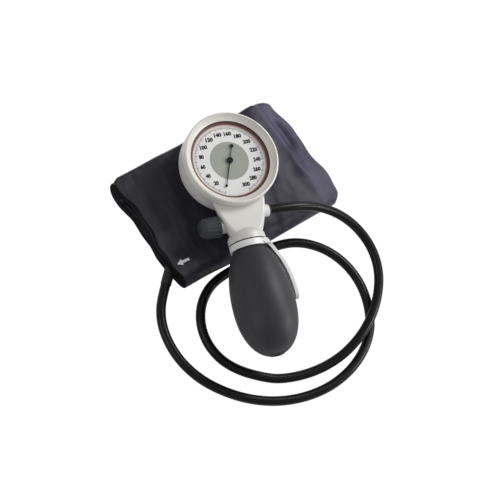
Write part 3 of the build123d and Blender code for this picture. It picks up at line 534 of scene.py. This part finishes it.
def upright_number(value):
    """The outline of a number as points and faces, scaled to its height and placed on its radius."""
    text = bpy.data.curves.new("number", "FONT")
    text.body = str(value)
    text.offset = 0.06
    text.extrude = 0.004
    text.resolution_u = 2
    holder = new_object("number", text)
    mesh = bpy.data.meshes.new_from_object(holder.evaluated_get(bpy.context.evaluated_depsgraph_get()))
    points = np.empty(len(mesh.vertices) * 3)
    mesh.vertices.foreach_get("co", points)
    points = points.reshape(-1, 3)
    faces = [tuple(face.vertices) for face in mesh.polygons]
    bpy.data.objects.remove(holder)
    low, high = points.min(axis=0), points.max(axis=0)
    size = np.array((DIGIT_WIDTH * len(text.body) - DIGIT_GAP, NUMBER_HEIGHT, INK_THICKNESS))
    angle = float(scale_angle(value))
    centre = np.array((NUMBER_RADIUS * np.sin(angle), NUMBER_RADIUS * np.cos(angle),
                       dial_height + INK_THICKNESS / 2))
    return (points - (low + high) / 2) / (high - low) * size + centre, faces


all_points, all_faces, count = [], [], 0
for value in range(20, FULL_SCALE + 1, 20):
    points, faces = upright_number(value)
    all_points.append(points)
    all_faces += [tuple(count + corner for corner in face) for face in faces]
    count += len(points)
numbers = add_piece("scale_numbers", np.concatenate(all_points), all_faces, "device",
                    smooth=False)
weld(numbers, 1e-8)
paint(numbers, ink_finish)

# %% [markdown]
# ## The bulb
# The bulb is turned about the handle's axis: a throat that grips the nipple, a long swelling
# front and a blunter back, where the powers of sine and cosine are a little under 1. Its wall is
# 2.4 mm thick, with an opening for the nipple in front and one for the intake valve behind. One
# closed profile, outside and inside, is carried round the axis, so the piece is a real shell.

# %% Bulb
BULB_MIDDLE, BULB_FRONT, BULB_BACK = 107.0 * MM, 42.8 * MM, 36.5 * MM
BULB_RADIUS, THROAT_RADIUS, BULB_WALL = 22.35 * MM, 11.2 * MM, 2.4 * MM
VALVE_HOLE, VALVE_RECESS, NIPPLE_HOLE = 4.45 * MM, 5.6 * MM, 5.65 * MM
BLUNT, AROUND = 0.92, 96


def bulb_profile(steps=72):
    """Distance down the handle and radius: two half ovals joined at the widest place, out and back in."""
    lift = np.sqrt(1 - (THROAT_RADIUS / BULB_RADIUS) ** 2)
    front_angle = np.linspace(np.arcsin(lift), 0, steps)
    front = np.stack((BULB_MIDDLE - BULB_FRONT / lift * np.sin(front_angle),
                      BULB_RADIUS * np.cos(front_angle)), 1)
    back_angle = np.linspace(0, np.arccos((VALVE_RECESS / BULB_RADIUS) ** (1 / BLUNT)), steps)[1:]
    back = np.stack((BULB_MIDDLE + BULB_BACK * np.sin(back_angle) ** BLUNT,
                     BULB_RADIUS * np.cos(back_angle) ** BLUNT), 1)
    end = BULB_MIDDLE + BULB_BACK
    seat = np.array(((end - 1.4 * MM, VALVE_RECESS - 0.05 * MM), (end - 1.4 * MM, VALVE_HOLE),
                     (end - 2.6 * MM, VALVE_HOLE)))
    inner = BULB_RADIUS - BULB_WALL
    angle = np.linspace(np.arccos(VALVE_HOLE / inner), -np.arccos(NIPPLE_HOLE / inner), 2 * steps)
    reach = np.where(angle > 0, BULB_BACK - BULB_WALL, BULB_FRONT - 10 * MM)
    inside = np.stack((BULB_MIDDLE + reach * np.sin(angle), inner * np.cos(angle)), 1)
    start = BULB_MIDDLE - BULB_FRONT
    mouth = np.array(((start + 0.3 * MM, NIPPLE_HOLE), (start, 6.0 * MM), (start, THROAT_RADIUS - 0.4 * MM)))
    return np.concatenate((front, back, seat, inside, mouth))


def turned_on_handle(profile):
    """Each profile point (s, r) goes round the handle's axis: (r cos a, -s, AXIS_HEIGHT + r sin a)."""
    angle = np.linspace(0, 2 * pi, AROUND, endpoint=False)
    distance, radius = profile[:, 0:1], profile[:, 1:2]
    shape = np.broadcast_shapes(distance.shape, angle[None].shape)
    return np.stack((radius * np.cos(angle), np.broadcast_to(-distance, shape),
                     AXIS_HEIGHT + radius * np.sin(angle)), axis=-1)


profile = bulb_profile()
bulb = add_piece("rubber_bulb", turned_on_handle(profile), grid_quads(len(profile), AROUND, True, True),
                 "device")
weld(bulb)
bulb.data.set_sharp_from_angle(angle=np.radians(50))
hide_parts("bulb")
paint(bulb, bulb_finish)

# %% [markdown]
# ## The folded cuff
# The cuff is one long strip of padded nylon, rolled flat in six layers, so its inner end never
# shows and its folds are soft. The strip is carried along the roll's middle line: straight runs
# joined by half circles that grow by a layer each turn. Across the strip it has a rounded edge
# with a sewn binding. The finished roll is then leaned on by formula: it sags at the loose right
# end, has a few folds there, and stays flat under the gauge.

# %% Line of the roll
CUFF_WIDTH, CUFF_DEPTH, CLOTH, GAP = 145.0, 93.5, 3.0, 0.35
CUFF_TURN, CUFF_CENTER = np.radians(19.3), np.array((3.6, -12.4))
PITCH, TURNS = CLOTH + GAP, 3
MIDDLE = PITCH / 2 + (TURNS - 1) * PITCH + CLOTH / 2
CUFF_HEIGHT = 2 * MIDDLE
FRONT = -CUFF_DEPTH / 2 + MIDDLE
BACK = CUFF_DEPTH / 2 - ((TURNS - 1) * PITCH + CLOTH / 2)


def run(start, end, height, step=1.6):
    """Straight part of the roll at one height."""
    count = int(abs(end - start) / step)
    return np.stack((np.linspace(start, end, count), np.full(count, height)), 1)


def bend(centre, radius, start, turn, count=20):
    """Half turn of the roll: centre + radius (cos a, sin a)."""
    angle = np.radians(np.linspace(start, start + turn, count + 2)[1:-1])
    return np.array(centre) + radius * np.stack((np.cos(angle), np.sin(angle)), 1)


parts = [run(BACK - CLOTH, FRONT, MIDDLE - PITCH / 2)]
for turn in range(TURNS):
    parts.append(bend((FRONT, MIDDLE), PITCH / 2 + turn * PITCH, 270, -180))
    top = MIDDLE + PITCH / 2 + turn * PITCH
    if turn < TURNS - 1:
        parts.append(run(FRONT, BACK, top))
        parts.append(bend((BACK, MIDDLE - PITCH / 2), (turn + 1) * PITCH, 90, -180))
        parts.append(run(BACK, FRONT, MIDDLE - PITCH / 2 - (turn + 1) * PITCH))
    else:
        parts.append(run(FRONT, CUFF_DEPTH / 2, top))
line = np.concatenate(parts)
travel = np.concatenate(([0], np.cumsum(np.linalg.norm(np.diff(line, axis=0), axis=1))))
print("strip is", round(travel[-1], 1), "mm long with", len(line), "stations")


# %% Cross-section of the strip
ROUNDING, CORNER, ACROSS = CLOTH / 2, 5.0, 96
from_end = np.minimum(travel, travel[-1] - travel)
into_corner = np.clip(CORNER - from_end, 0, CORNER)
inset = CORNER - np.sqrt(CORNER**2 - into_corner**2)
half_width = (CUFF_WIDTH / 2 - inset)[:, None]
across_strip = np.sin(np.linspace(-1, 1, ACROSS) * pi / 2) * half_width
to_edge = np.minimum(half_width - np.abs(across_strip), from_end[:, None])
roundness = np.sqrt(np.clip(1 - (1 - np.clip(to_edge / ROUNDING, 0, 1)) ** 2, 0, 1))
half_thick = CLOTH / 2 * roundness
tangent = np.gradient(line, travel, axis=0)
tangent /= np.linalg.norm(tangent, axis=1)[:, None]
normal = np.stack((-tangent[:, 1], tangent[:, 0]), 1)


def strip_face(sign):
    """One face of the strip: line + sign * half thickness along the normal, for every side position."""
    a = line[:, None, 0] + sign * normal[:, None, 0] * half_thick
    z = line[:, None, 1] + sign * normal[:, None, 1] * half_thick
    return np.stack((across_strip, a, z), axis=-1)


loop = np.concatenate((strip_face(1), strip_face(-1)[:, ::-1]), axis=1)


# %% Lean of the roll
def on_table(w, a):
    """Place on the table, in mm, of a place on the roll: w across the strip and a from front to back."""
    return (CUFF_CENTER[0] + w * np.cos(CUFF_TURN) - a * np.sin(CUFF_TURN),
            CUFF_CENTER[1] + w * np.sin(CUFF_TURN) + a * np.cos(CUFF_TURN))


def crease(w, middle, spread):
    """A rounded crease along the roll: 1 on its line and 1/2 at spread beside it."""
    return 1 / (1 + ((w - middle) / spread) ** 2)


def slump(w, a):
    """How much higher the top of the roll is at (w, a), in mm. It is 0 under the gauge and its handle."""
    x, y = on_table(w, a)
    free = smoothstep(26, 46, np.hypot(x, y - np.clip(y, -66, 0)))
    fold = smoothstep(34, 22, a) * smoothstep(0, 9, a)
    valley = -2.6 * (0.2 + 0.8 * fold) * crease(w, 62.4, 2.4)
    ridges = (1.6 * smoothstep(-24, -12, a) * crease(w, 57.4, 3.2)
              + (0.4 + 0.8 * fold) * crease(w, 68.4, 3))
    swell = 1.3 * np.exp(-((w - 36 - a / 3) / 6) ** 2)
    dip = -1.5 * np.exp(-((w - 50) / 4.5) ** 2 - ((a + 16) / 7) ** 2)
    sag = -4.3 * smoothstep(56, 80, w) + 1.6 * smoothstep(40, 58, w) * smoothstep(22, 44, a)
    rumple = (1.1 * np.sin(w / 9 + a / 17) * np.sin(a / 12 - w / 31)
              + 0.5 * np.sin(w / 6.3 - a / 7.1) * np.sin(a / 9 + w / 14))
    return free * (valley + ridges + swell + dip + sag + rumple)


def edge_drift(w, a, travel):
    """How far the roll's two ends lie from straight, in mm: the layers never line up."""
    right = (2.4 + 2.0 * np.exp(-((a + 28) / 12) ** 2) - 6.8 * smoothstep(16, 38, a)
             - 6 * smoothstep(41, 50, a) - 4 * smoothstep(-40, -49, a) + 0.4 * np.sin(a / 4.1))
    left = (-4.0 + 3.4 * smoothstep(15, 42, a) + 1.5 * np.exp(-((a + 14) / 7) ** 2)
            - 2.8 * smoothstep(-26, -46, a) + 0.4 * np.sin(a / 3.7 + travel / 29))
    stagger = 0.8 * np.sin(travel / 13.7)
    return (right + stagger) * smoothstep(30, 73, w) - (left + stagger) * smoothstep(-40, -72, w)


w, a, z = loop[..., 0], loop[..., 1], loop[..., 2]
w_new = w + edge_drift(w, a, travel[:, None])
a_new = a + 1.3 * smoothstep(-30, -46, a) * smoothstep(-20, -50, w)
z_new = z * (1 + slump(w, a) / CUFF_HEIGHT)
cloth_points = MM * np.stack((*on_table(w_new, a_new), z_new), axis=-1)
rows, columns = loop.shape[:2]
cuff = add_piece("cuff_fabric_roll", cloth_points, grid_quads(rows, columns, False, True),
                 "device")

# %% [markdown]
# The weave follows the cloth and not the room, so the strip gets a UV map in metres: u runs
# across the strip and v along it. Every corner of every face takes its place from the same grid,
# before the doubled points at the edges are welded.

# %% Cloth coordinates
strip_u = np.concatenate((across_strip, across_strip[:, ::-1]), axis=1) * MM
strip_v = np.broadcast_to(travel[:, None] * MM, strip_u.shape)
strip_uv = np.stack((strip_u, strip_v), axis=-1).reshape(-1, 2)
corner_points = np.empty(len(cuff.data.loops), dtype=np.int64)
cuff.data.loops.foreach_get("vertex_index", corner_points)
cloth_map = cuff.data.uv_layers.new(name="cloth")
cloth_map.data.foreach_set("uv", strip_uv[corner_points].ravel())
weld(cuff)
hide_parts("cuff_cloth")


# %% Nylon finish
THREAD, STITCH, STITCH_ROW, TAPE_EDGE = 0.5 * MM, 2.5 * MM, 68.5 * MM, -71.7 * MM


def nylon():
    """Dark woven nylon with crossed threads and a row of stitches along each edge, painted in three tones as
    painted light and shade.
    """
    finish = Finish("woven_nylon", {"Specular IOR Level": 0.3, "Sheen Weight": 0.03, "Sheen Roughness": 0.4})
    cloth = finish.node("UVMap", {"uv_map": "cloth"})
    u, v = finish.along(0, cloth), finish.along(1, cloth)
    weave = u.math("SINE", u * (2 * pi / THREAD)) * v.math("SINE", v * (2 * pi / THREAD))
    stitch_row = 1 - finish.step(abs(abs(u) - STITCH_ROW), 0.2 * MM, 0.4 * MM)
    stitches = stitch_row * (v.math("FRACT", v * (1 / STITCH)) > 0.3)
    broad = finish.noise(28.0, 3.0)
    lint = finish.noise(700.0, 2.0)
    stretched = finish.node("Mapping", inputs={"Vector": cloth, "Scale": (50.0, 30.0, 1.0)})
    creases = finish.noise(1.0, 2.0, stretched)
    # Painted light and shade: the cloth is painted darker on the left and beside the gauge, and lighter at
    # the far right end, where the lamps light it most.
    right, painted_light_far_right = finish.step(u, -4 * MM, 10 * MM), finish.step(u, 53 * MM, 60 * MM)

    def across(left_tint, right_tint, far_tint):
        return finish.mix(painted_light_far_right, finish.mix(right, left_tint, right_tint), far_tint)

    mottle_and_painted_light = finish.mix(finish.step(broad, 0.3, 0.7),
                      across(colour(44, 41, 52), colour(54, 51, 71), colour(74, 70, 95)),
                      across(colour(28, 26, 35), colour(39, 36, 51), colour(54, 51, 70)))
    finish.set({
        "Base Color": finish.mix(stitches * 0.3, mottle_and_painted_light, colour(46, 45, 54)),
        "Roughness": 0.42 + (broad - 0.5) * 0.2,
        "Normal": finish.bump(weave * 0.5 + lint * 0.6 - stitch_row * 1.2 + stitches * 2.0, 0.04 * MM,
                              finish.bump(creases, 3 * MM)),
    })
    return finish.material


paint(cuff, nylon())
cuff.data.materials.append(moulded("binding_tape", colour(13, 13, 15), 0.8, grain=1500.0, depth=0.00005,
                                   constants={"Specular IOR Level": 0.1}))
corner_uv = np.empty(len(cuff.data.loops) * 2)
cuff.data.uv_layers["cloth"].data.foreach_get("uv", corner_uv)
first_corner = np.empty(len(cuff.data.polygons), dtype=np.int64)
cuff.data.polygons.foreach_get("loop_start", first_corner)
on_tape = np.maximum.reduceat(corner_uv[0::2], first_corner) < TAPE_EDGE
cuff.data.polygons.foreach_set("material_index", on_tape.astype(np.int32))
print(int(on_tape.sum()), "faces of the cuff are binding tape")

# %% [markdown]
# ## The artery arrow
# A small white arrow is printed near the front of the cuff, to lay over the artery. It is a thin
# plate that follows the cloth, so its height comes from the same formula as the cloth's top.

# %% Artery arrow
def cloth_top(x, y):
    """Height of the top of the roll at a place on the table, in mm."""
    dx, dy = x - CUFF_CENTER[0], y - CUFF_CENTER[1]
    w = dx * np.cos(CUFF_TURN) + dy * np.sin(CUFF_TURN)
    a = -dx * np.sin(CUFF_TURN) + dy * np.cos(CUFF_TURN)
    return CUFF_HEIGHT + slump(w, a)


HEAD, WING, SHAFT = 4.3, 2.4, 1.0
tail, tip = np.array((-38.7, -59.1)), np.array((-48.4, -61.7))
length = float(np.linalg.norm(tip - tail))
ahead = (tip - tail) / length
beside = np.array((-ahead[1], ahead[0]))
neck = length - HEAD
outline = np.array(((0, SHAFT), (neck, SHAFT), (neck, WING), (length, 0),
                    (neck, -WING), (neck, -SHAFT), (0, -SHAFT)))
corners = len(outline)
flat = tail + outline[:, :1] * ahead + outline[:, 1:] * beside
level = cloth_top(flat[:, 0], flat[:, 1])
under, over = np.c_[flat, level - 0.2], np.c_[flat, level + 0.12]
sides = [(i, (i + 1) % corners, (i + 1) % corners + corners, i + corners) for i in range(corners)]
caps = [tuple(reversed(range(corners))), tuple(range(corners, 2 * corners))]
arrow = add_piece("artery_arrow", MM * np.concatenate((under, over)), caps + sides, "device",
                  smooth=False)
weld(arrow, 1e-8)
paint(arrow, moulded("arrow_print", colour(226, 227, 232), 0.5))

# %% [markdown]
# ## Light, floor and background
# A large soft lamp from the upper right makes the long gentle highlights. A lower one beside it
# shapes the handle and the bulb, and a weak one from the left opens the shadows. The camera sees
# the sky and the floor as plain white, but reflections see them much darker, because a white
# room all round would turn black rubber grey.

# %% Studio
def area_lamp(name, place, aim, size, power):
    """A square soft lamp that looks at a point."""
    data = bpy.data.lights.new(name, "AREA")
    data.size, data.energy = size, power
    lamp = new_object(name, data)
    lamp.location = place
    lamp.rotation_mode = "QUATERNION"
    lamp.rotation_quaternion = (Vector(aim) - Vector(place)).to_track_quat("-Z", "Y")


area_lamp("key_lamp", (0.80, 0.34, 0.88), (0, -0.03, 0.02), 0.5, 9.0)
area_lamp("side_lamp", (0.95, -0.42, 0.50), (0, -0.05, 0.02), 0.4, 5.0)
area_lamp("fill_lamp", (-1.0, -0.1, 0.7), (0, -0.03, 0.02), 0.8, 3.0)


def seen_directly(tree):
    """1 for a ray from the camera or through clear plastic, 0.3 in a reflection, 0 for all others."""
    path = tree.nodes.new("ShaderNodeLightPath")
    seen, mirrored, clear = (Signal(tree, path.outputs[name])
                             for name in ("Is Camera Ray", "Is Glossy Ray", "Is Transmission Ray"))
    rays = seen + mirrored * 0.3 + clear
    return rays.math("MINIMUM", rays, 1.0)


WHITE = (1, 1, 1, 1)
world = bpy.data.worlds.new("studio")
world.use_nodes = True
scene.world = world
sky = world.node_tree.nodes["Background"]
sky.inputs["Color"].default_value = WHITE
plug(world.node_tree, seen_directly(world.node_tree) * 0.72 + 0.28, sky.inputs["Strength"])

FLOOR_REACH = 3
floor_mesh = bpy.data.meshes.new("studio_floor")
floor_mesh.from_pydata([(-FLOOR_REACH, -FLOOR_REACH, 0), (FLOOR_REACH, -FLOOR_REACH, 0),
                        (FLOOR_REACH, FLOOR_REACH, 0), (-FLOOR_REACH, FLOOR_REACH, 0)], [], [(0, 1, 2, 3)])
floor = new_object("studio_floor", floor_mesh)
floor_finish = Finish("pale_floor", {"Base Color": (0.9, 0.9, 0.9, 1), "Roughness": 0.9,
                                     "Specular IOR Level": 0.0})
tree = floor_finish.tree
glow = floor_finish.node("Emission", inputs={"Color": WHITE, "Strength": 1.04})
blend = floor_finish.node("MixShader", inputs={0: seen_directly(tree) * 0.96, 2: glow})
plug(tree, Signal(tree, floor_finish.shader.outputs[0]), blend.socket.node.inputs[1])
plug(tree, blend, tree.nodes["Material Output"].inputs["Surface"])
paint(floor, floor_finish.material)

scene.view_settings.view_transform = "Standard"
